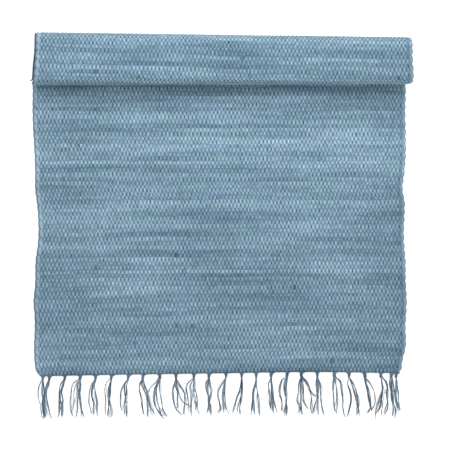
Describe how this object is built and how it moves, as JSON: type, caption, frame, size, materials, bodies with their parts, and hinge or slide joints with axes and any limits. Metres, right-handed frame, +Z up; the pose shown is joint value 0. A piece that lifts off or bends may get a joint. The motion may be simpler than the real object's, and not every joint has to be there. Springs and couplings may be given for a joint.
{
  "type": "rag rug, partly rolled up",
  "caption": "Flat-woven blue-grey cotton rag rug, laid flat at its fringed end and rolled up at its far end in one loose roll, with ribbed weave, looped selvedges and a knotted thread fringe.",
  "frame": {"origin": "on the surface it lies on, under the middle of the rug's outer box", "axes": "+X across the cloth to the right, +Y from the fringe towards the roll, +Z up off the surface"},
  "size_m": [0.6086, 0.617, 0.0717],
  "materials": {
    "rag_cloth": "matt, coarse ribbed plain weave of dyed cotton rag strips in pale and mid blue over a dark slate warp",
    "warp_thread": "matt twisted cotton thread, slate blue"
  },
  "bodies": {
    "root": {"rug": "rag_cloth", "fringe": "warp_thread"}
  },
  "joints": []
}
